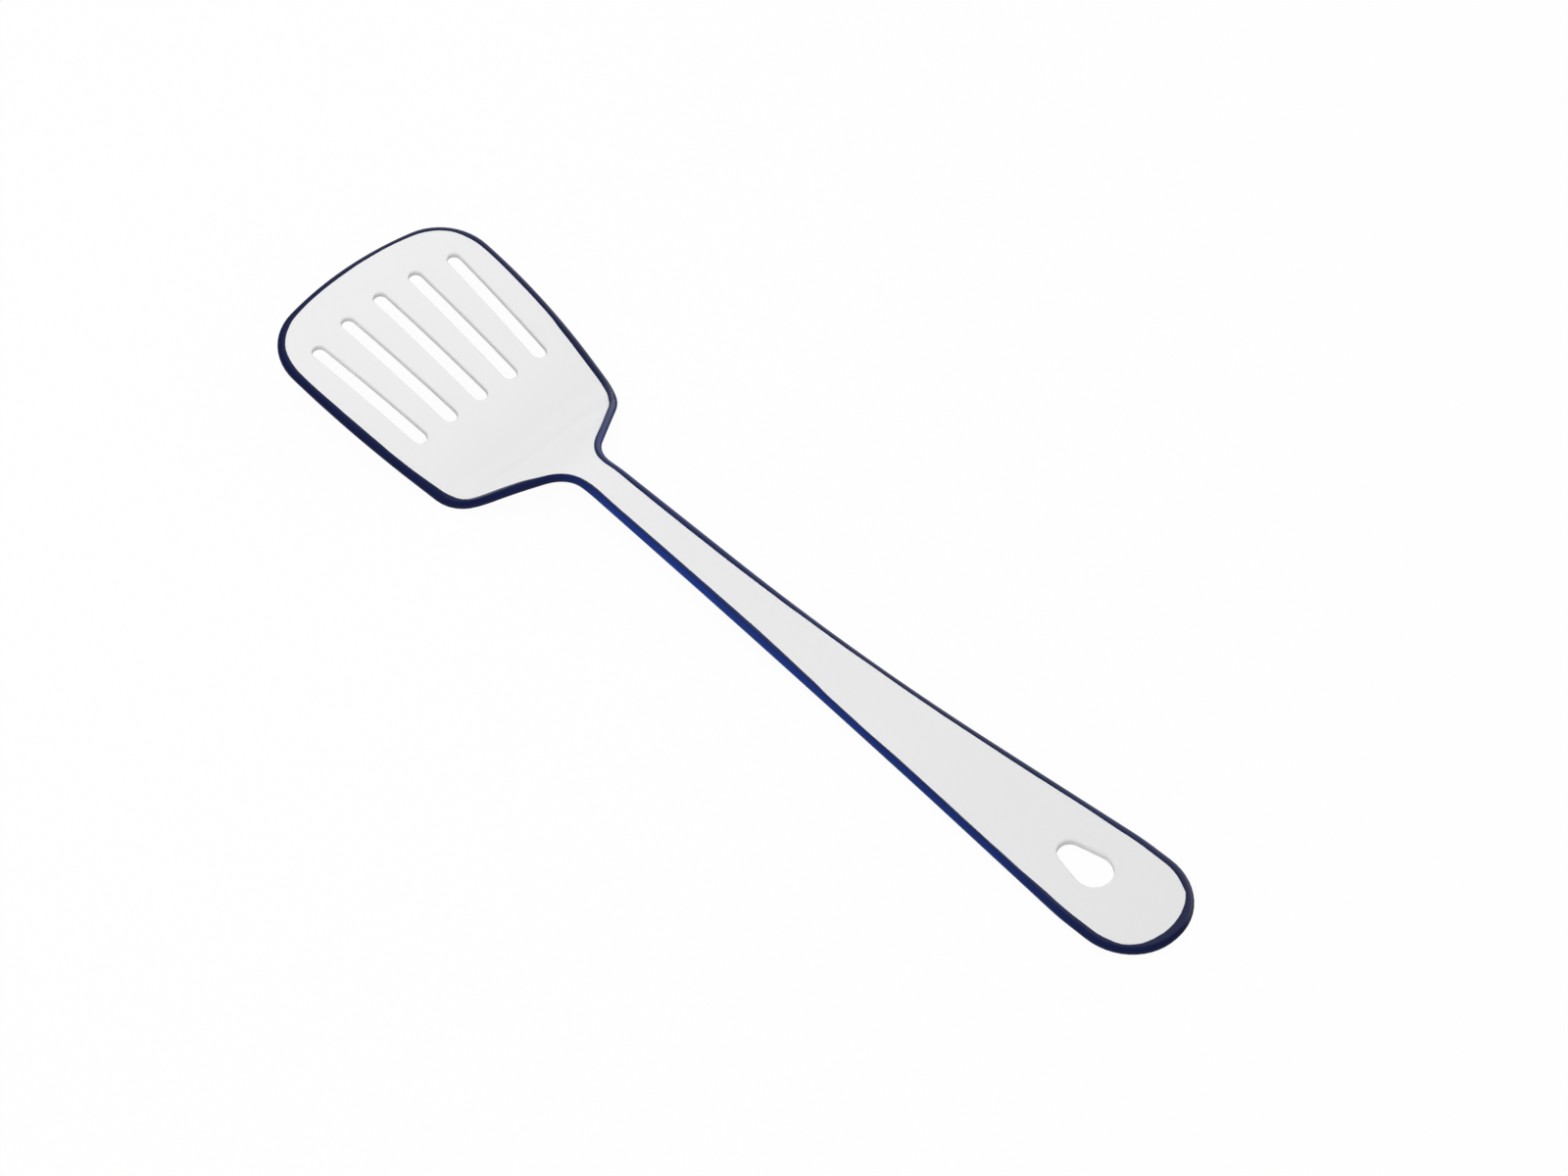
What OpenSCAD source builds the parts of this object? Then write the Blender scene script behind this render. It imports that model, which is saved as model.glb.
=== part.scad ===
// Slotted kitchen turner pressed from one sheet of steel and finished in vitreous enamel.
// The shallow arched blade carries five fanned slots; the handle flares to a rounded end with a
// teardrop hanging hole.
// Plan sizes are those of the bare steel blank; the enamel coats lie outside it.
// X runs from the front edge to the handle's end, Z is up, and the part rests on Z = 0.

/* [Blade] */
// Width of the blade between its parallel sides
blade_w = 84; // [76:0.2:92]
// Radius of the long curve of the front edge
front_r = 125; // [100:1:240]
// Radius of the two front corners
front_corner_r = 20; // [12:0.2:24]
// Distance from the front edge to where the sides begin to draw in
side_x = 51.5; // [44:0.5:56]
// Radius of the shallow curve that draws the sides in
side_r = 340; // [200:5:400]
// Distance from the front edge to the heel corners
heel_x = 94.6; // [88:0.2:98]
// Width of the blade across the heel corners
heel_w = 70.6; // [62:0.2:78]
// Radius of the two heel corners
heel_r = 19.8; // [10:0.2:22]

/* [Slots] */
// Number of slots across the blade
slot_count = 5; // [3:2:5]
// Width of a slot at its front end
slot_front_w = 5.4; // [4.6:0.1:6.4]
// Width of a slot at its rear end
slot_rear_w = 5.8; // [4.6:0.1:6.4]
// Distance from one slot to the next at their front ends
slot_front_pitch = 14.7; // [12:0.1:16]
// Distance from one slot to the next at their rear ends
slot_rear_pitch = 13.1; // [11:0.1:15]
// Steel left between the front edge and each slot
slot_margin = 14.3; // [10:0.1:20]
// Distance from the front edge to the rear end of every slot
slot_rear_x = 67.8; // [58:0.2:74]

/* [Neck and handle] */
// Length in plan from the front edge to the end of the handle
total_len = 354.4; // [320:0.2:380]
// Distance from the front edge to the neck
neck_x = 111.2; // [106:0.2:116]
// Width of the handle at the neck
neck_w = 12.6; // [10:0.2:18]
// Radius of the inward curve from the shoulders into the neck
neck_r = 11.4; // [6:0.2:16]
// Distance from the front edge to the middle of the handle's flare
flare_x = 223.8; // [200:0.2:240]
// Width of the handle at the middle of its flare
flare_w = 18.3; // [16:0.2:26]
// Radius of the long inward curve of the handle's sides
flare_r = 1660; // [900:10:2200]
// Width of the handle at its rounded end
end_w = 37; // [30:0.2:42]
// Length of the parallel stretch that carries the rounded end
end_run = 28; // [22:0.5:36]
// Radius where the flare meets the parallel stretch
end_side_r = 80; // [40:1:110]
// Radius of the two quarter rounds of the end
end_r = 17.9; // [10:0.1:18.5]

/* [Hanging hole] */
// Distance from the handle's end to the centre of the wide round of the hole
hang_from_end = 31.2; // [26:0.2:40]
// Distance between the centres of the wide and the narrow round
hang_run = 8.7; // [6:0.1:14]
// Radius of the wide round
hang_wide_r = 6.4; // [5:0.1:8]
// Radius of the narrow round
hang_narrow_r = 4.4; // [2.6:0.1:4.8]

/* [Side profile] */
// Drop of the front edge below the bend at the heel
front_drop = 1.2; // [0.2:0.1:2.4]
// Distance from the front edge to the middle of the blade's shallow arch
arch_x = 45; // [40:0.5:48]
// Height above the heel where the straight runs on both sides of the arch would cross
arch_z = 2.6; // [1.4:0.1:3.4]
// Centreline radius of the blade's arch
arch_r = 550; // [300:10:560]
// Distance from the front edge to the bend at the heel
heel_bend_x = 90.8; // [88:0.2:94]
// Centreline radius of the bend at the heel
heel_bend_r = 14.8; // [8:0.2:18]
// Distance from the front edge to the bend at the neck
neck_bend_x = 110; // [106:0.2:116]
// Height of the bend at the neck above the heel
neck_bend_z = 17.9; // [14:0.1:20]
// Centreline radius of the bend at the neck
neck_bend_r = 48; // [20:1:60]
// Distance from the front edge to the middle of the handle's bow
bow_x = 221.4; // [200:0.2:250]
// Height above the heel where the handle's two straight runs would cross
bow_z = 34; // [30:0.1:38]
// Centreline radius of the handle's bow
bow_r = 1130; // [600:10:1700]
// Height of the handle's end above the heel
end_z = 64.4; // [58:0.1:68]

/* [Sheet and enamel] */
// Thickness of the steel sheet
sheet_t = 2; // [1.2:0.1:2.6]
// Thickness of the dark ground coat
ground_t = 0.12; // [0.08:0.01:0.2]
// Thickness of the white cover coat
white_t = 0.16; // [0.1:0.01:0.3]
// Thickness of the blue rim coat over the white
rim_t = 0.1; // [0.06:0.01:0.2]
// Width of the blue band in from the edge of the steel
rim_w = 2; // [1.2:0.1:3]

/* [Hidden] */
// Distance that a cutting shape runs past the face it cuts
overrun = 5;
// Turn of one facet on a curve, and the fewest facets that a curve gets
facet_turn = 4;
facet_min = 6;
// Facets of each round end of the slots and the hole
round_steps = 24;
// Outer face of each coat, measured from the steel
ground_out = ground_t;
white_out = ground_out + white_t;
rim_out = white_out + rim_t;
// Ends of the finished part in plan
front_out = -rim_out;
end_out = total_len + rim_out;

// Direction of a vector in degrees, and an angle brought between -180 and 180
function heading(v) = atan2(v.y, v.x);
function wrap(a) = a > 180 ? a - 360 : (a < -180 ? a + 360 : a);
function turn_at(v, i) = wrap(heading(v[i + 1] - v[i]) - heading(v[i] - v[i - 1]));
// Distance that the round at corner i takes from each of its two sides
function reach(v, r, i) = (i < 1 || i > len(v) - 2) ? 0 : r[i] * tan(abs(turn_at(v, i)) / 2);
// Share of the wanted reach that the side from corner i to the next has room for
function room(v, r, i) =
    let (need = reach(v, r, i) + reach(v, r, i + 1), have = norm(v[i + 1] - v[i]))
    need > have ? have / need : 1;
// Points of the round at corner i, moved out by d to the right of the direction of travel
function corner(v, r, i, d) =
    let (
        turn = turn_at(v, i),
        fit = min(room(v, r, i - 1), room(v, r, i)),
        radius = r[i] * fit,
        side = turn < 0 ? -1 : 1,
        dir = heading(v[i] - v[i - 1]),
        start = v[i] - reach(v, r, i) * fit * [cos(dir), sin(dir)],
        centre = start + side * radius * [-sin(dir), cos(dir)],
        steps = max(facet_min, ceil(abs(turn) / facet_turn))
    )
    [for (k = [0:steps])
        let (a = dir + turn * k / steps)
        centre + (side * radius + d) * [sin(a), -cos(a)]];
// Rounded path through the corners v with radii r, moved out by d
function rounded_path(v, r, d) = [for (i = [1:len(v) - 2]) each corner(v, r, i, d)];

// Corners of the right-hand half of the outline, from the middle of the front edge to the end
front_angle = asin((blade_w / 2 - front_corner_r) / (front_r - front_corner_r));
front_top_x = front_r - front_r / cos(front_angle);
side_start_x = front_top_x + blade_w / 2 * tan(front_angle);
half_corners = [
    [side_start_x, blade_w / 2],
    [side_x, blade_w / 2],
    [heel_x, heel_w / 2],
    [neck_x, neck_w / 2],
    [flare_x, flare_w / 2],
    [total_len - end_run, end_w / 2],
    [total_len, end_w / 2]
];
half_radii = [front_corner_r, side_r, heel_r, neck_r, flare_r, end_side_r, end_r];
// The whole outline, run once round so that its outer side lies to the right
left_corners = [for (p = half_corners) [p.x, -p.y]];
right_corners = [for (i = [len(half_corners) - 1:-1:0]) half_corners[i]];
right_radii = [for (i = [len(half_radii) - 1:-1:0]) half_radii[i]];
loop_corners = concat([half_corners[0], [front_top_x, 0]], left_corners,
    right_corners, [[front_top_x, 0]]);
loop_radii = concat([0, front_r], half_radii, right_radii, [0]);

// Centreline of the sheet seen from the side, from past the front edge to past the end
front_slope = (arch_z + front_drop) / arch_x;
end_slope = (end_z - bow_z) / (total_len - bow_x);
side_corners = [
    [-overrun, -front_drop - overrun * front_slope],
    [arch_x, arch_z],
    [heel_bend_x, 0],
    [neck_bend_x, neck_bend_z],
    [bow_x, bow_z],
    [total_len + overrun, end_z + overrun * end_slope]
];
side_radii = [0, arch_r, heel_bend_r, neck_bend_r, bow_r, 0];
last_side = len(side_corners) - 1;
// Step of length d to the right of the direction of travel from one point to the next
function sidestep(from, to, d) = d * [sin(heading(to - from)), -cos(heading(to - from))];
function face_path(d) = concat(
    [side_corners[0] + sidestep(side_corners[0], side_corners[1], d)],
    rounded_path(side_corners, side_radii, d),
    [side_corners[last_side] + sidestep(side_corners[last_side - 1], side_corners[last_side], d)]);
function centre_z(x) = lookup(x, face_path(0));
function centre_slope(x) = atan2(centre_z(x + overrun) - centre_z(x - overrun), 2 * overrun);

// Resting pose: the part stands on the underside of the heel and of the handle
sheet_out = sheet_t / 2 + rim_out;
under = face_path(sheet_out);
over = face_path(-sheet_out);
under_heel = [for (p = under) if (p.x > front_out && p.x <= neck_bend_x) p];
under_handle = concat(
    [for (p = under) if (p.x > neck_bend_x && p.x < end_out) p],
    [[end_out, lookup(end_out, under)]]);
rest_tilt = max([for (p = under_heel) min([for (q = under_handle) heading(q - p)])]);
function rested(p) = [
    p.x * cos(rest_tilt) + p.y * sin(rest_tilt),
    p.y * cos(rest_tilt) - p.x * sin(rest_tilt)
];
end_points = [for (x = [front_out, end_out], face = [under, over]) rested([x, lookup(x, face)])];
rest_x = (min([for (p = end_points) p.x]) + max([for (p = end_points) p.x])) / 2;
rest_z = min([for (p = concat(under_heel, under_handle)) rested(p).y]);

// Lays a piece drawn with its blade level into the resting pose
module at_rest() {
    translate([-rest_x, 0, -rest_z])
        rotate([0, rest_tilt, 0])
            children();
}

// Upright block with the outline of the blank moved out by d
module outline_block(d) {
    translate([0, 0, -end_z])
        linear_extrude(height = 3 * end_z)
            polygon(rounded_path(loop_corners, loop_radii, d));
}

// Bent sheet wider than the part, with each face moved out by d from the steel
module bent_sheet(d) {
    half_t = sheet_t / 2 + d;
    upper_face = face_path(-half_t);
    rotate([90, 0, 0])
        linear_extrude(height = 2 * blade_w, center = true)
            polygon(concat(face_path(half_t),
                [for (i = [len(upper_face) - 1:-1:0]) upper_face[i]]));
}

// Points of a slot with round ends of different radius and straight sides between them
function tapered_slot(from, to, from_r, to_r) =
    let (
        run = norm(to - from),
        dir = heading(to - from),
        lean = asin((to_r - from_r) / run)
    )
    concat(
        [for (k = [0:round_steps])
            let (a = dir + 90 + lean + (180 - 2 * lean) * k / round_steps)
            from + from_r * [cos(a), sin(a)]],
        [for (k = [0:round_steps])
            let (a = dir - 90 - lean + (180 + 2 * lean) * k / round_steps)
            to + to_r * [cos(a), sin(a)]]);

// Cutters for the fanned slots, narrowed on each side by the coats d that line them
module slot_cutters(d) {
    first = -(slot_count - 1) / 2;
    for (i = [0:slot_count - 1]) {
        front_y = (first + i) * slot_front_pitch;
        rear_y = (first + i) * slot_rear_pitch;
        edge_x = front_r - sqrt(pow(front_r, 2) - pow(front_y, 2));
        translate([0, 0, -overrun])
            linear_extrude(height = 2 * overrun)
                polygon(tapered_slot(
                    [edge_x + slot_margin + slot_front_w / 2, front_y],
                    [slot_rear_x - slot_rear_w / 2, rear_y],
                    slot_front_w / 2 - d, slot_rear_w / 2 - d));
    }
}

// Cutter for the hanging hole, square to the handle where it stands
module hang_cutter(d) {
    x = total_len - hang_from_end;
    translate([x, 0, centre_z(x)])
        rotate([0, -centre_slope(x), 0])
            translate([0, 0, -overrun])
                linear_extrude(height = 2 * overrun)
                    polygon(tapered_slot([-hang_run, 0], [0, 0],
                        hang_narrow_r - d, hang_wide_r - d));
}

// The whole turner with every face moved out by d from the steel
module turner_body(d) {
    difference() {
        intersection() {
            outline_block(d);
            bent_sheet(d);
        }
        slot_cutters(d);
        hang_cutter(d);
    }
}

// Bare pressed sheet: blade, neck and handle in one piece
module steel_blank() {
    color("silver")
        at_rest()
            turner_body(0);
}

// Dark first coat, fired straight onto the steel on both faces and in every opening
module ground_coat() {
    color([0.07, 0.07, 0.13])
        at_rest()
            difference() {
                turner_body(ground_out);
                turner_body(0);
            }
}

// White cover coat over the ground coat, lining the slots and the hanging hole
module white_enamel() {
    color([0.93, 0.93, 0.92])
        at_rest()
            difference() {
                turner_body(white_out);
                turner_body(ground_out);
            }
}

// Blue coat wrapped round the whole outer edge and a narrow band of both faces
module blue_rim() {
    color([0.13, 0.2, 0.52])
        at_rest()
            difference() {
                intersection() {
                    outline_block(rim_out);
                    bent_sheet(rim_out);
                }
                outline_block(-rim_w);
                intersection() {
                    outline_block(white_out);
                    bent_sheet(white_out);
                }
            }
}

steel_blank();
ground_coat();
white_enamel();
blue_rim();
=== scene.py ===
import math

import bmesh
import bpy
from mathutils import Matrix, Vector, noise


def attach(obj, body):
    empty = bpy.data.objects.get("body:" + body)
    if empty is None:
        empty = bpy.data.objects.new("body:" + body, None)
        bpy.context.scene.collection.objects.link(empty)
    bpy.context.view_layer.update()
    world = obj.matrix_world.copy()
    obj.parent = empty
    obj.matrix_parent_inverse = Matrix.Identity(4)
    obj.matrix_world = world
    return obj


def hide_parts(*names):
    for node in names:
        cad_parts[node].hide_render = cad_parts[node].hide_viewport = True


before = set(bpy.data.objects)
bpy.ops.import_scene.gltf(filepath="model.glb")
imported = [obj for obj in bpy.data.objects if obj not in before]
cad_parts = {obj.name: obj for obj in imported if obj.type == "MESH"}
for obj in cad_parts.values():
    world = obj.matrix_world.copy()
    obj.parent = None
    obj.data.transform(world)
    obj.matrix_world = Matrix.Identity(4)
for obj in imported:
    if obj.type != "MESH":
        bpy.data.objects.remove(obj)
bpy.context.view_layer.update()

# The steel blank: blade, neck and handle pressed from one sheet, with five slots
# and a teardrop hole punched through it. Its edges are tumbled round before it is
# enamelled. Lengths are in millimetres until the finished mesh is scaled.
MM = 0.001
SHEET_T = 2.0  # thickness of the sheet
EDGE_IN = SHEET_T / 2  # the tumbled edge is a half round
LIP = 0.42  # radius of the edges of an opening
FLAT = 0.4  # flat rim drawn with each edge
FRONT_R = 125
CORNER_R = 20
BLADE_W = 84
TOTAL_LEN = 354.4
front_turn = math.asin((BLADE_W / 2 - CORNER_R) / (FRONT_R - CORNER_R))
front_top = FRONT_R - FRONT_R / math.cos(front_turn)
# Corners of half the outline seen from above: how far back, how far out, and the radius there
OUTLINE = [
    (front_top, 0, 0),
    (front_top + BLADE_W / 2 * math.tan(front_turn), BLADE_W / 2, CORNER_R),
    (51.5, BLADE_W / 2, 340),
    (94.6, 35.3, 19.8),
    (111.2, 6.3, 11.4),
    (223.8, 9.15, 1660),
    (326.4, 18.5, 80),
    (TOTAL_LEN, 18.5, 17.9),
    (TOTAL_LEN, 0, 0),
]
# Corners of the sheet seen from the side: how far back, how high, and the radius there
SIDE = [
    (-5, -1.6222, 0),
    (45, 2.6, 550),
    (90.8, 0, 14.8),
    (110, 17.9, 48),
    (221.4, 34, 1130),
    (360, 65.68, 0),
]
SLOT_PLACES = (-2, -1, 0, 1, 2)  # five slots, counted from the middle one
SLOT_FRONT_R, SLOT_REAR_R = 2.7, 2.9
SLOT_FRONT_PITCH, SLOT_REAR_PITCH = 14.7, 13.1  # the slots fan out towards the front
SLOT_MARGIN, SLOT_REAR_X = 14.3, 67.8
HOLE_NARROW_R, HOLE_WIDE_R = 4.4, 6.4
HOLE_RUN, HOLE_FROM_END = 8.7, 31.2
REST_TILT = math.radians(13.4761)  # it rests on its heel and the end of its handle
REST_SHIFT = Vector((-179.695, 0, 21.3434))
RING_STEP = 2.4  # longest step along an edge
RING_TURN = math.radians(7)  # widest turn of one step
ARC_STEPS = 4  # fewest steps round an arc
ROUND_STEPS = 14  # steps over the tumbled edge
LIP_STEPS = 6  # steps over the edge of an opening
SHORTEST = 0.01  # a shorter run is left out
WELD = 0.002  # points nearer than this are merged
CUT_SNAP = 0.02  # a cut this near to a point goes through it
Z_AXIS = Vector((0, 0, 1))
NO_SHIFT = Vector((0, 0, 0))
# Cuts across the sheet in the arch, the crank and the bow: first place, step and number
CUTS = [(5.5, 3.7, 22), (84.8, 1.1, 38), (176, 6, 16)]


def heading(a, b):
    """Angle of the line from a to b."""
    return math.atan2(b[1] - a[1], b[0] - a[0])


def half_outline():
    """Arcs and straight runs from the middle of the front edge to the handle's end."""
    moves = [(Vector((FRONT_R, 0, 0)), -front_turn, FRONT_R)]
    at = Vector((FRONT_R - FRONT_R * math.cos(front_turn), FRONT_R * math.sin(front_turn), 0))
    for before, corner, after in zip(OUTLINE, OUTLINE[1:], OUTLINE[2:]):
        way, turn = heading(before, corner), heading(corner, after) - heading(before, corner)
        reach = corner[2] * math.tan(abs(turn) / 2)
        start = Vector((corner[0] - reach * math.cos(way), corner[1] - reach * math.sin(way), 0))
        if (start - at).length > SHORTEST:
            moves.append((None, start - at, (start - at).length))
        side = math.copysign(corner[2], turn)
        centre = start + side * Vector((-math.sin(way), math.cos(way), 0))
        moves.append((centre, turn, corner[2]))
        at = centre + Matrix.Rotation(turn, 3, "Z") @ (start - centre)
    if abs(at.y) > SHORTEST:
        moves.append((None, Vector((0, -at.y, 0)), at.y))
    return moves


def whole_outline():
    """The half outline and its mirror image, run back to the front."""
    there = half_outline()
    back = []
    for centre, turn, size in reversed(there):
        if centre is None:
            back.append((None, Vector((-turn.x, turn.y, 0)), size))
        else:
            back.append((Vector((centre.x, -centre.y, 0)), turn, size))
    return there + back


def slot_outline(start, end, start_r, end_r):
    """Two round ends of different radius with the straight sides between them."""
    way = heading(start, end)
    lean = math.asin((end_r - start_r) / (end - start).length)
    first = way + math.pi / 2 + lean
    low = Vector((math.cos(way - math.pi / 2 - lean), math.sin(way - math.pi / 2 - lean), 0))
    high = Vector((math.cos(first), math.sin(first), 0))
    there = end - start + (end_r - start_r) * low
    back = start - end + (start_r - end_r) * high
    return first, [
        (start, math.pi - 2 * lean, start_r),
        (None, there, there.length),
        (end, math.pi + 2 * lean, end_r),
        (None, back, back.length),
    ]


def draw_along(bm, ring, moves):
    """Draws a profile along arcs and runs. Each point keeps the direction that faces out."""
    out_x, out_y = bm.verts.layers.float["out_x"], bm.verts.layers.float["out_y"]
    drawn = 0
    for centre, move, size in moves:
        if centre is None:
            steps = max(1, math.ceil(size / RING_STEP))
            spin = dict(cent=(0, 0, 0), dvec=move / steps, angle=0)
        else:
            by_turn, by_length = abs(move) / RING_TURN, abs(move) * size / RING_STEP
            steps = max(ARC_STEPS, math.ceil(by_turn), math.ceil(by_length))
            spin = dict(cent=centre, angle=move)
        ring = bmesh.ops.spin(bm, geom=ring, axis=Z_AXIS, steps=steps, **spin)["geom_last"]
        bm.verts.ensure_lookup_table()
        for v in bm.verts[drawn:]:
            out = Vector((-move.y, move.x)) if centre is None else (v.co - centre).xy * -move
            v[out_x], v[out_y] = out.normalized()
        drawn = len(bm.verts)


def with_edges(verts):
    """The points and the edges between them, as one profile."""
    verts = set(verts)
    edges = {e for v in verts for e in v.link_edges if e.other_vert(v) in verts}
    return list(verts) + list(edges)


def arc(bm, vert, centre, turn, steps):
    """Spins a point about an axis across the sheet. Returns the points that it leaves."""
    before = set(bm.verts)
    bmesh.ops.spin(bm, geom=[vert], cent=centre, axis=(0, 1, 0), angle=turn, steps=steps)
    return sorted((v for v in bm.verts if v not in before), key=lambda v: -v.co.z)


def pull(bm, vert, by):
    """Extrudes one point by a vector and returns the new one."""
    new = bmesh.ops.extrude_vert_indiv(bm, verts=[vert])["verts"]
    bmesh.ops.translate(bm, vec=by, verts=new)
    return new[0]


def point(bm, x, z):
    """A new point of a profile: x runs in from the edge, z up from the middle of the sheet."""
    return bmesh.ops.create_vert(bm, co=(x, 0, z))["vert"][0]


def edge_profile(bm, coat):
    """Half round of the outer edge with a short flat beside it on both faces."""
    r = EDGE_IN + coat
    top = point(bm, EDGE_IN, r)
    round_points = arc(bm, top, (EDGE_IN, 0, 0), -math.pi, ROUND_STEPS)
    flats = [pull(bm, v, (FLAT, 0, 0)) for v in (top, round_points[-1])]
    return [top, *round_points, *flats]


def lip_profile(bm, coat, wall_x):
    """Rounded lips of an opening with the wall between them."""
    r, half = LIP + coat, EDGE_IN + coat
    top = point(bm, wall_x + r, half)
    upper = arc(bm, top, (wall_x + r, 0, half - r), -math.pi / 2, LIP_STEPS)
    wall = pull(bm, upper[-1], (0, 0, -2 * (half - r)))
    lower = arc(bm, wall, (wall_x + r, 0, r - half), -math.pi / 2, LIP_STEPS)
    flats = [pull(bm, v, (FLAT, 0, 0)) for v in (top, lower[-1])]
    # The lip weight greys the white there: part thin enamel, part painted shade.
    lip = bm.verts.layers.float["lip"]
    for turned in (upper, lower):
        for i, v in enumerate(turned[:-1]):
            v[lip] = math.sin(math.pi * (i + 1) / len(turned))
    return [top, *upper, wall, *lower, *flats]


def opening(bm, coat, outline, first, start, start_r, shift=NO_SHIFT, squeeze=1.0):
    """Lines one slot or hole: its lips are swept round the outline."""
    lining = new_bmesh()
    verts = lip_profile(lining, coat, start_r)
    bmesh.ops.rotate(lining, cent=(0, 0, 0), matrix=Matrix.Rotation(first, 3, "Z"), verts=verts)
    bmesh.ops.translate(lining, vec=start, verts=verts)
    draw_along(lining, with_edges(verts), outline)
    bmesh.ops.scale(lining, vec=(squeeze, 1, 1), verts=lining.verts)
    bmesh.ops.translate(lining, vec=shift, verts=lining.verts)
    mesh = bpy.data.meshes.new("lining")
    lining.to_mesh(mesh)
    lining.free()
    bm.from_mesh(mesh)
    bpy.data.meshes.remove(mesh)


def side_runs():
    """Each bend from the side: start, end, centre, radius, corner and the slope after it."""
    bends = []
    for before, bend, after in zip(SIDE, SIDE[1:], SIDE[2:]):
        way, turn = heading(before, bend), heading(bend, after) - heading(before, bend)
        reach, side = bend[2] * math.tan(abs(turn) / 2), math.copysign(bend[2], turn)
        start = (bend[0] - reach * math.cos(way), bend[1] - reach * math.sin(way))
        end_x = bend[0] + reach * math.cos(way + turn)
        centre = (start[0] - side * math.sin(way), start[1] + side * math.cos(way))
        bends.append((start[0], end_x, centre, side, bend, way + turn))
    return bends


SIDE_RUNS = side_runs()


def sheet_line(x):
    """Height and slope of the middle of the sheet at x."""
    at, slope = SIDE[0], heading(SIDE[0], SIDE[1])
    for start, end, centre, side, bend, after in SIDE_RUNS:
        if x < start:
            break
        if x <= end:
            slope = math.asin((x - centre[0]) / side)
            return centre[1] - side * math.cos(slope), slope
        at, slope = bend, after
    return at[1] + (x - at[0]) * math.tan(slope), slope


def cut_across(bm, geom):
    """Cuts faces across where the sheet bends, so that they follow the bends."""
    for first_x, step, number in CUTS:
        for i in range(number):
            place = (first_x + step * i, 0, 0)
            cut = bmesh.ops.bisect_plane(bm, geom=geom, dist=CUT_SNAP, plane_co=place, plane_no=(1, 0, 0))
            geom = cut["geom"]


def press(bm):
    """Bends the flat sheet, lays it in its resting pose and brings it to metres."""
    for v in bm.verts:
        z, slope = sheet_line(v.co.x)
        v.co = (v.co.x - v.co.z * math.sin(slope), v.co.y, z + v.co.z * math.cos(slope))
    bmesh.ops.rotate(bm, cent=(0, 0, 0), matrix=Matrix.Rotation(REST_TILT, 3, "Y"), verts=bm.verts)
    bmesh.ops.translate(bm, vec=REST_SHIFT, verts=bm.verts)
    bmesh.ops.scale(bm, vec=(MM, MM, MM), verts=bm.verts)


def new_bmesh():
    """An empty mesh whose points carry what the coats and their colours need."""
    bm = bmesh.new()
    for name in ("out_x", "out_y", "lip", "round", "inner", "painted_light_blue"):
        bm.verts.layers.float.new(name)
    return bm


def skin(coat):
    """The whole closed surface of the sheet, moved out by the coats on it."""
    bm = new_bmesh()
    draw_along(bm, with_edges(edge_profile(bm, coat)), whole_outline())
    for i in SLOT_PLACES:
        front_y, rear_y = SLOT_FRONT_PITCH * i, SLOT_REAR_PITCH * i
        edge_x = FRONT_R - math.sqrt(FRONT_R**2 - front_y**2)
        start = Vector((edge_x + SLOT_MARGIN + SLOT_FRONT_R, front_y, 0))
        end = Vector((SLOT_REAR_X - SLOT_REAR_R, rear_y, 0))
        first, outline = slot_outline(start, end, SLOT_FRONT_R - coat, SLOT_REAR_R - coat)
        opening(bm, coat, outline, first, start, SLOT_FRONT_R - coat)
    narrow, wide = Vector((-HOLE_RUN, 0, 0)), Vector((0, 0, 0))
    first, outline = slot_outline(narrow, wide, HOLE_NARROW_R - coat, HOLE_WIDE_R - coat)
    hole_x = TOTAL_LEN - HOLE_FROM_END
    squeeze = math.cos(sheet_line(hole_x)[1])
    hole = Vector((hole_x, 0, 0))
    opening(bm, coat, outline, first, narrow, HOLE_NARROW_R - coat, hole, squeeze)
    bmesh.ops.remove_doubles(bm, verts=bm.verts, dist=WELD)
    for side in (1, -1):
        rim = [e for e in bm.edges if e.is_boundary and e.verts[0].co.z * side > 0]
        face_up = (0, 0, side)
        filled = bmesh.ops.triangle_fill(bm, use_beauty=True, edges=rim, normal=face_up)["geom"]
        cut_across(bm, list({*filled, *rim, *(v for e in rim for v in e.verts)}))
    bmesh.ops.recalc_face_normals(bm, faces=bm.faces)
    press(bm)
    mesh = bpy.data.meshes.new("skin")
    bm.to_mesh(mesh)
    bm.free()
    return mesh


def coat_piece(name, outer, inner=None):
    """A coat: its outer skin, and the skin of what it covers turned inside out."""
    bm = bmesh.new()
    if inner:
        bm.from_mesh(inner)
        bmesh.ops.reverse_faces(bm, faces=bm.faces)
    bm.from_mesh(outer)
    return made(bm, name)


def made(bm, name):
    """Ends a piece: a smooth mesh in an object at the origin, riding on the frame."""
    for face in bm.faces:
        face.smooth = True
    mesh = bpy.data.meshes.new(name)
    bm.to_mesh(mesh)
    bm.free()
    piece = bpy.data.objects.new(name, mesh)
    bpy.context.scene.collection.objects.link(piece)
    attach(piece, "root")
    return piece


def new_material(name):
    """A material with its shader, and a short way to add and join nodes."""
    mat = bpy.data.materials.new(name)
    mat.use_nodes = True
    tree = mat.node_tree
    shader = tree.nodes["Principled BSDF"]

    def node(kind, inputs=(), **settings):
        made_node = tree.nodes.new(kind)
        for key, value in settings.items():
            setattr(made_node, key, value)
        for socket, value in dict(inputs).items():
            if isinstance(value, bpy.types.NodeSocket):
                tree.links.new(value, made_node.inputs[socket])
            else:
                made_node.inputs[socket].default_value = value
        return made_node

    return mat, tree, shader, node


def speckle(node, place, scale, detail):
    """A soft noise over the piece, from 0 to 1."""
    noise_node = node("ShaderNodeTexNoise", {"Vector": place, "Scale": scale, "Detail": detail})
    return noise_node.outputs["Fac"]


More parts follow.
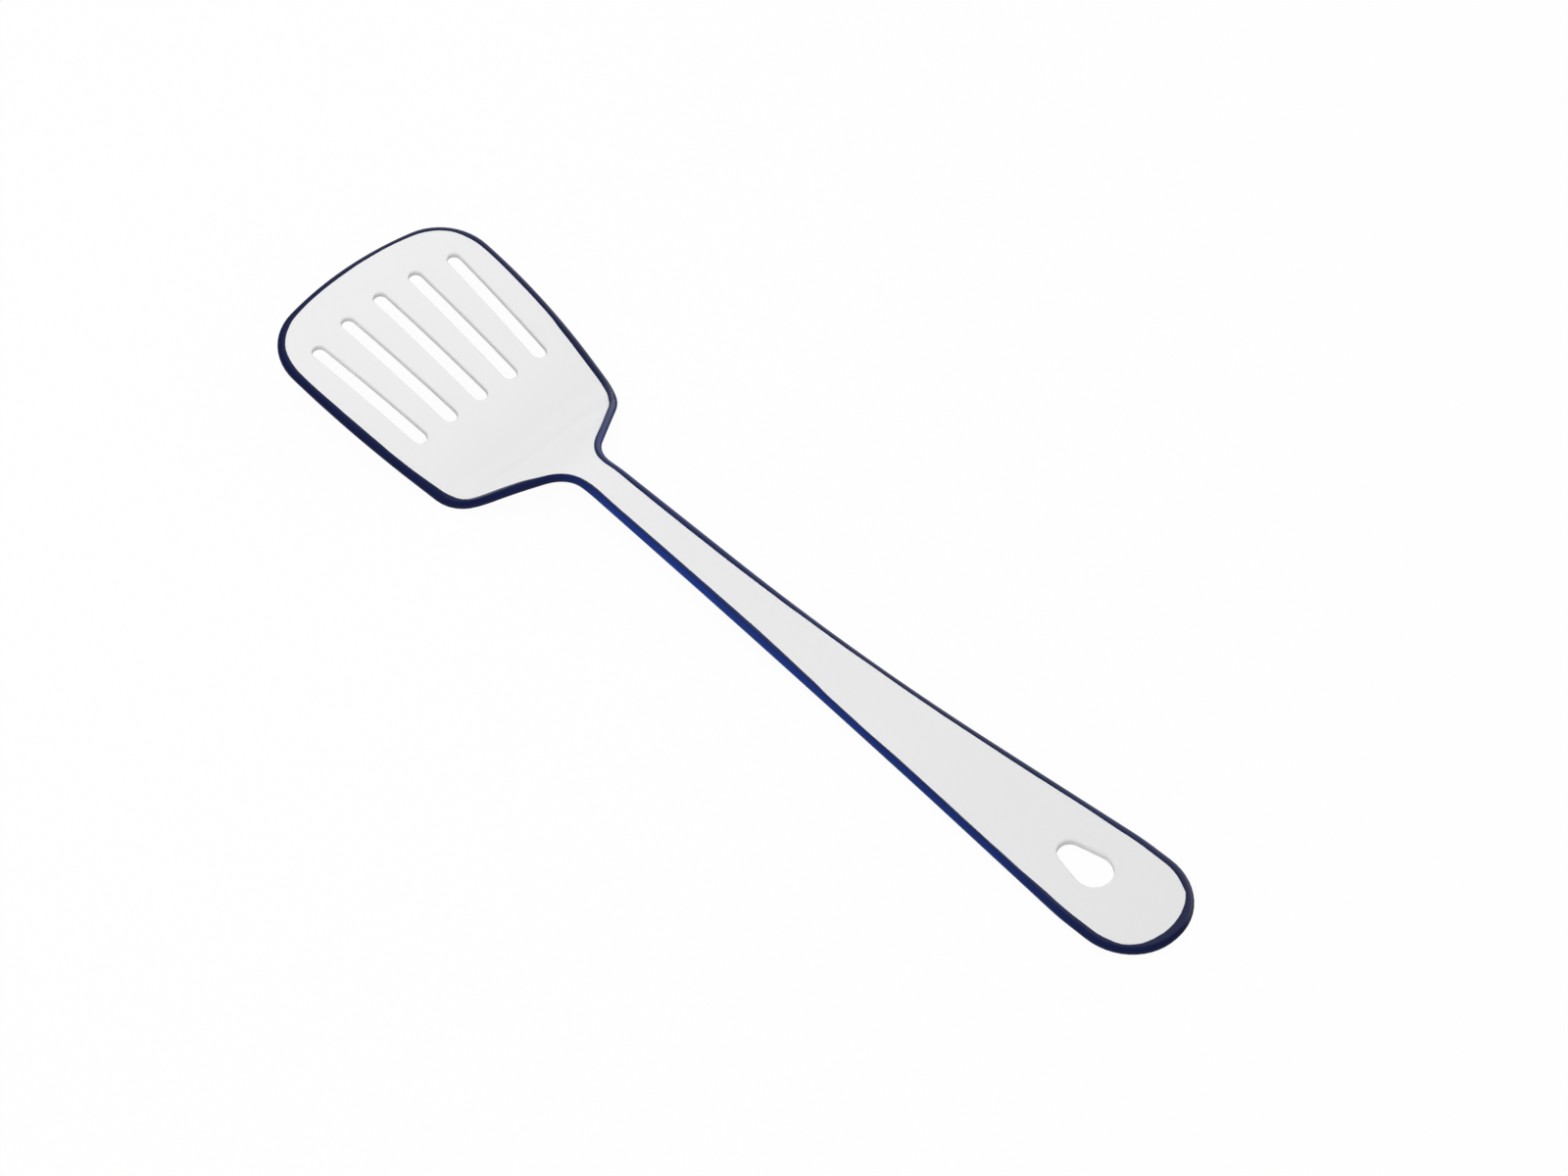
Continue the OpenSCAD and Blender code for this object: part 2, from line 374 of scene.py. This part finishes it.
def tint(node, share, first, last):
    """A colour that goes from the first to the last as the share rises."""
    ramp = node("ShaderNodeValToRGB", {"Fac": share})
    ramp.color_ramp.elements[0].color = (*first, 1)
    ramp.color_ramp.elements[1].color = (*last, 1)
    return ramp.outputs["Color"]


def finish_surface(tree, shader, node, gloss_from, smoothest, roughest, relief, strength, depth):
    """Lets the gloss vary a little over the surface and gives it a fine relief."""
    gloss = node("ShaderNodeMapRange", {"Value": gloss_from, "To Min": smoothest, "To Max": roughest})
    tree.links.new(gloss.outputs[0], shader.inputs["Roughness"])
    bump = node("ShaderNodeBump", {"Height": relief, "Strength": strength, "Distance": depth})
    tree.links.new(bump.outputs[0], shader.inputs["Normal"])


steel_skin = skin(0)
steel_sheet = coat_piece("steel_sheet", steel_skin)
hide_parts("steel_blank")
steel, tree, shader, node = new_material("Pressed steel")
place = node("ShaderNodeTexCoord").outputs["Object"]
long_grain = node("ShaderNodeMapping", {"Vector": place, "Scale": (60, 2400, 2400)}).outputs[0]
grain = speckle(node, long_grain, 1, 6)
steel_tone = tint(node, grain, (0.32, 0.32, 0.33), (0.56, 0.56, 0.57))
tree.links.new(steel_tone, shader.inputs["Base Color"])
finish_surface(tree, shader, node, grain, 0.3, 0.5, grain, 0.15, 0.0001)
shader.inputs["Metallic"].default_value = 1
steel_sheet.data.materials.append(steel)

# The ground coat: a thin dark enamel fired straight onto the steel, over both
# faces and through every opening. The coats over it leave none of it in sight.
GROUND = 0.12  # how far the coat stands off the steel
base_skin = skin(GROUND)
base_coat = coat_piece("base_coat", base_skin, steel_skin)
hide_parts("ground_coat")
ground, tree, shader, node = new_material("Ground enamel")
place = node("ShaderNodeTexCoord").outputs["Object"]
cloud = speckle(node, place, 180, 4)
dark_tone = tint(node, cloud, (0.004, 0.005, 0.012), (0.012, 0.013, 0.03))
tree.links.new(dark_tone, shader.inputs["Base Color"])
finish_surface(tree, shader, node, cloud, 0.25, 0.45, speckle(node, place, 900, 2), 0.2, 0.0001)
base_coat.data.materials.append(ground)

# The white cover coat: glossy opaque enamel over the whole turner. It lines the slots
# and the hole, where its lips grey a little: part thin enamel, part painted shade.
WHITE = 0.28  # how far it stands off the steel, ground coat and all
white_coat = coat_piece("white_coat", skin(WHITE), base_skin)
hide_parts("white_enamel")
# The lips' grey: part thin enamel over the turn, part painted shade.
LIP_GREY, LIP_GREY_SHARE = (0.6, 0.6, 0.6, 1), 0.15


def blended(node, share, first, second):
    """Goes from the first colour to the second as the share rises."""
    blend = node("ShaderNodeMix", {"Factor": share, "A": first, "B": second}, data_type="RGBA")
    return blend.outputs["Result"]


white, tree, shader, node = new_material("White enamel")
place = node("ShaderNodeTexCoord").outputs["Object"]
cloud = speckle(node, place, 22, 3)
white_tone = tint(node, cloud, (0.79, 0.79, 0.795), (0.82, 0.82, 0.82))
# The white greys on the lips of the openings: part real thinning, part painted shade.
on_lip = node("ShaderNodeAttribute", attribute_name="lip").outputs["Fac"]
lip_thin_and_shade = node("ShaderNodeMath", {0: on_lip, 1: LIP_GREY_SHARE}, operation="MULTIPLY").outputs[0]
tree.links.new(blended(node, lip_thin_and_shade, white_tone, LIP_GREY), shader.inputs["Base Color"])
finish_surface(tree, shader, node, cloud, 0.14, 0.22, speckle(node, place, 420, 2), 0.08, 0.0002)
white_coat.data.materials.append(white)

# The blue edge: a last coat of cobalt enamel drawn round the whole outer edge by
# hand, so its band on both faces is a little wider and narrower from place to place.
RIM = 0.38  # how far the blue stands off the steel
UNDER = 0.26  # where its inside lies, just under the white
RIM_W = 2.0
RIM_STEPS = 20
TAPER = [(0.14, -0.015), (0.07, -0.04), (0.04, -0.065)]  # thinning edge of the band: run and fall
WAVE, WAVE_LEN = 0.045, 4  # unsteadiness of the band's edge
# Width of the band on the right-hand and the left-hand side, at places along the turner
BAND = [
    (0, 1.62, 1.7),
    (1, 1.5, 1.68),
    (4.7, 1.78, 2.2),
    (9.8, 1.78, 2.2),
    (16.8, 2.18, 2.45),
    (28, 2, 2.25),
    (41, 2.15, 2.48),
    (57, 2.15, 2.5),
    (65, 2.5, 2.3),
    (73, 2.6, 2.38),
    (88.4, 2.52, 2.95),
    (95.2, 2, 2),
    (100.1, 1.32, 2.26),
    (104.1, 1.3, 2.14),
    (108, 1.55, 1.3),
    (114, 2.02, 1.46),
    (122, 1.94, 2),
    (130, 2.15, 1.86),
    (146, 2.28, 1.98),
    (162, 2.26, 2.1),
    (194, 1.88, 2.32),
    (203, 1.7, 2.2),
    (218, 1.7, 1.95),
    (228, 1.57, 1.5),
    (242, 1.68, 1.45),
    (260, 1.75, 1.72),
    (290, 1.98, 1.74),
    (306, 1.9, 1.88),
    (320, 2.18, 2.3),
    (338, 2.3, 2.38),
    (342, 2.4, 2.35),
    (345, 2.42, 2.05),
    (347, 2.3, 1.9),
    (348.5, 2.02, 2),
    (351.2, 2.45, 2.25),
    (352.7, 2.74, 2.6),
    (354, 2.92, 2.92),
]


def ease(x, start, end):
    """Goes smoothly from 0 at the start to 1 at the end."""
    t = min(1, max(0, (x - start) / (end - start)))
    return t * t * (3 - 2 * t)


def band_width(x, side):
    """Width of the hand-drawn band at x, on the right-hand (1) or left-hand (2) side."""
    for here, there in zip(BAND, BAND[1:]):
        if x < there[0]:
            return here[side] + (there[side] - here[side]) * ease(x, here[0], there[0])
    return BAND[-1][side]


def painted_light_blue_share(x, side):
    """Share of painted light on the blue edge at x: the brighter blue rises along the neck and handle,
    stays lower on the right-hand side, and falls back to navy towards the end.
    """
    if side == 2:
        fading = 1 - 0.3 * ease(x, 200, 260)
        return ease(x, 104, 135) * fading * (1 - ease(x, 285, 352))
    fading = 1 - 0.75 * ease(x, 165, 240) + 0.3 * ease(x, 285, 315)
    return 0.5 * ease(x, 84, 112) * fading * (1 - ease(x, 320, 348))


def rim_profile(bm):
    """Closed section of the edge coat, wrapped round the white edge."""
    flat = RIM_W - EDGE_IN - sum(run for run, _ in TAPER)
    around, inner = bm.verts.layers.float["round"], bm.verts.layers.float["inner"]
    top = point(bm, EDGE_IN, EDGE_IN + RIM)
    outside = [top, *arc(bm, top, (EDGE_IN, 0, 0), -math.pi, RIM_STEPS)]
    for i, v in enumerate(outside):
        v[around] = i / RIM_STEPS
    # Each step inwards on a face: its run, its fall and its share of the band's width
    inwards = [(flat / 2, 0, 0.5), (flat / 2, 0, 1), *((run, fall, 1) for run, fall in TAPER)]
    tips = []
    for end, up in ((outside[0], 1), (outside[-1], -1)):
        v = end
        for run, fall, share in inwards:
            v = pull(bm, v, (run, 0, fall * up))
            v[around], v[inner] = end[around], share
        tips.append(v)
    lining = point(bm, EDGE_IN, EDGE_IN + UNDER)
    back = [lining, *arc(bm, lining, (EDGE_IN, 0, 0), -math.pi, ROUND_STEPS)]
    for tip, v in zip(tips, (back[0], back[-1])):
        bmesh.ops.contextual_create(bm, geom=[tip, v])
    return list(bm.verts)


bm = new_bmesh()
draw_along(bm, with_edges(rim_profile(bm)), whole_outline())
out_x, out_y = bm.verts.layers.float["out_x"], bm.verts.layers.float["out_y"]
inner, painted_light_blue = bm.verts.layers.float["inner"], bm.verts.layers.float["painted_light_blue"]
for v in bm.verts:
    side = 1 if v.co.y > 0 else 2
    outward = Vector((v[out_x], v[out_y], 0))
    edge_x = v.co.x + outward.x * RIM_W * v[inner]
    # Painted light: the share of brighter blue where the edge faced the light.
    v[painted_light_blue] = painted_light_blue_share(edge_x, side)
    wave = WAVE * noise.noise(v.co / WAVE_LEN)
    v.co += outward * (RIM_W - band_width(edge_x, side) + wave) * v[inner]
bmesh.ops.remove_doubles(bm, verts=bm.verts, dist=WELD)
cut_across(bm, [*bm.verts, *bm.edges, *bm.faces])
bmesh.ops.recalc_face_normals(bm, faces=bm.faces)
press(bm)
blue_edge_coat = made(bm, "blue_edge_coat")
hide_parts("blue_rim")
# The royal blue is painted light on the edge walls; the mottle is the glaze's own uneven tone.
PAINTED_LIGHT_ROYAL_BLUE, MOTTLE_BLUE = (0.007, 0.033, 0.22, 1), (0.006, 0.014, 0.075, 1)
blue, tree, shader, node = new_material("Cobalt enamel")
place = node("ShaderNodeTexCoord").outputs["Object"]
cloud = speckle(node, place, 60, 3)
# The band's top face stays navy as painted shade and dark reflection, and the navy runs a touch darker
# towards the underside as painted shade. The round of the edge and the underside take the royal blue as
# painted light.
around = node("ShaderNodeAttribute", attribute_name="round").outputs["Fac"]
navy = tint(node, around, (0.004, 0.008, 0.048), (0.003, 0.006, 0.04))
painted_light_blue_fac = node("ShaderNodeAttribute", attribute_name="painted_light_blue").outputs["Fac"]
edge_share = node("ShaderNodeMapRange", {"Value": around, "From Max": 0.15, "To Min": 0.3}).outputs[0]
painted_light_blue_part = node("ShaderNodeMath", {0: painted_light_blue_fac, 1: edge_share}, operation="MULTIPLY").outputs[0]
blue_with_painted_light = blended(node, painted_light_blue_part, navy, PAINTED_LIGHT_ROYAL_BLUE)
patches = {"Value": cloud, "From Min": 0.35, "From Max": 0.75, "To Min": 0, "To Max": 0.3}
mottle_share = node("ShaderNodeMapRange", patches).outputs[0]
mottled = blended(node, mottle_share, blue_with_painted_light, MOTTLE_BLUE)
tree.links.new(mottled, shader.inputs["Base Color"])
finish_surface(tree, shader, node, cloud, 0.07, 0.16, speckle(node, place, 380, 2), 0.12, 0.0002)
blue_edge_coat.data.materials.append(blue)

# The studio: a plain white paper floor that keeps a faint shadow of the turner, a pale
# room with a window to one side, two softboxes and the camera. From here on in metres.
FLOOR_HALF, FLOOR_GAP = 6, 0.0001
PAPER, MIRRORED_PAPER = (0.85, 0.85, 0.85, 1), (0.22, 0.22, 0.23, 1)
PAPER_GLOW = 0.96  # share of plain white in what the camera sees; the rest takes the shadow
bm = bmesh.new()
bmesh.ops.create_grid(bm, x_segments=1, y_segments=1, size=FLOOR_HALF)
bmesh.ops.translate(bm, vec=(0, 0, -FLOOR_GAP), verts=bm.verts)
floor_mesh = bpy.data.meshes.new("floor")
bm.to_mesh(floor_mesh)
bm.free()
floor = bpy.data.objects.new("floor", floor_mesh)
bpy.context.scene.collection.objects.link(floor)
paper, tree, shader, node = new_material("Floor paper")
shader.inputs["Roughness"].default_value = 0.9
shader.inputs["Specular IOR Level"].default_value = 0.1
glow = node("ShaderNodeEmission", {"Color": (1, 1, 1, 1), "Strength": 1.0}).outputs[0]
path = node("ShaderNodeLightPath")
paper_colour = blended(node, path.outputs["Is Glossy Ray"], PAPER, MIRRORED_PAPER)
tree.links.new(paper_colour, shader.inputs["Base Color"])
seen = node("ShaderNodeMath", {0: path.outputs["Is Camera Ray"], 1: PAPER_GLOW}, operation="MULTIPLY")
both = node("ShaderNodeMixShader", {0: seen.outputs[0], 1: shader.outputs[0], 2: glow}).outputs[0]
tree.links.new(both, tree.nodes["Material Output"].inputs["Surface"])
floor_mesh.materials.append(paper)

world = bpy.data.worlds.new("Studio")
bpy.context.scene.world = world
world.use_nodes = True
tree = world.node_tree
tree.nodes.clear()


def sky(strength):
    """A plain white background of one strength, which may come from another node."""
    shade = tree.nodes.new("ShaderNodeBackground")
    shade.inputs["Color"].default_value = (1, 1, 1, 1)
    if isinstance(strength, bpy.types.NodeSocket):
        tree.links.new(strength, shade.inputs["Strength"])
    else:
        shade.inputs["Strength"].default_value = strength
    return shade.outputs[0]


def pick(ray, first, second):
    """Shows the second background to one kind of ray and the first to the others."""
    choose = tree.nodes.new("ShaderNodeMixShader")
    tree.links.new(rays.outputs[ray], choose.inputs[0])
    tree.links.new(first, choose.inputs[1])
    tree.links.new(second, choose.inputs[2])
    return choose.outputs[0]


def glow_along(toward, start, end, first, last):
    """Brightness that goes from first to last as a ray turns toward a direction."""
    turned = tree.nodes.new("ShaderNodeVectorMath")
    turned.operation = "DOT_PRODUCT"
    turned.inputs[1].default_value = toward
    tree.links.new(coord.outputs["Generated"], turned.inputs[0])
    change = tree.nodes.new("ShaderNodeMapRange")
    change.interpolation_type = "SMOOTHSTEP"
    limits = {"From Min": start, "From Max": end, "To Min": first, "To Max": last}
    for socket, value in limits.items():
        change.inputs[socket].default_value = value
    tree.links.new(turned.outputs["Value"], change.inputs["Value"])
    return change.outputs[0]


rays = tree.nodes.new("ShaderNodeLightPath")
coord = tree.nodes.new("ShaderNodeTexCoord")
walls = glow_along(toward=(-0.12, 0, 1), start=0.35, end=0.7, first=1.0, last=0.1)
window = glow_along(toward=(-0.2, 1, 0.2), start=0.5, end=0.95, first=0.1, last=1.15)
lit = pick("Is Glossy Ray", sky(walls), sky(window))
surface = tree.nodes.new("ShaderNodeOutputWorld").inputs["Surface"]
tree.links.new(pick("Is Camera Ray", lit, sky(1)), surface)


def soft_lamp(name, place, aim, size, watts):
    """A square softbox that faces a point on the object."""
    lamp = bpy.data.lights.new(name, "AREA")
    lamp.shape, lamp.size, lamp.energy = "SQUARE", size, watts
    holder = bpy.data.objects.new(name, lamp)
    bpy.context.scene.collection.objects.link(holder)
    holder.location = place
    holder.rotation_euler = (Vector(aim) - Vector(place)).to_track_quat("-Z", "Y").to_euler()
    holder.visible_glossy = False


LAMP_AIM = (-0.08, 0, 0)
soft_lamp("key", place=(-0.1, -0.2, 0.88), aim=LAMP_AIM, size=1.0, watts=6.5)
soft_lamp("fill", place=(-0.65, 0.45, 0.8), aim=LAMP_AIM, size=0.8, watts=2.6)

lens = bpy.data.cameras.new("camera")
lens.lens, lens.sensor_width = 78.75, 36
lens.clip_start, lens.clip_end = 0.05, 30
camera = bpy.data.objects.new("camera", lens)
bpy.context.scene.collection.objects.link(camera)
camera.location = (0.48785, -0.468465, 0.824828)
camera.rotation_euler = (math.radians(39.5678), math.radians(0.3691), math.radians(44.3793))
bpy.context.scene.camera = camera
bpy.context.scene.view_settings.view_transform = "Standard"
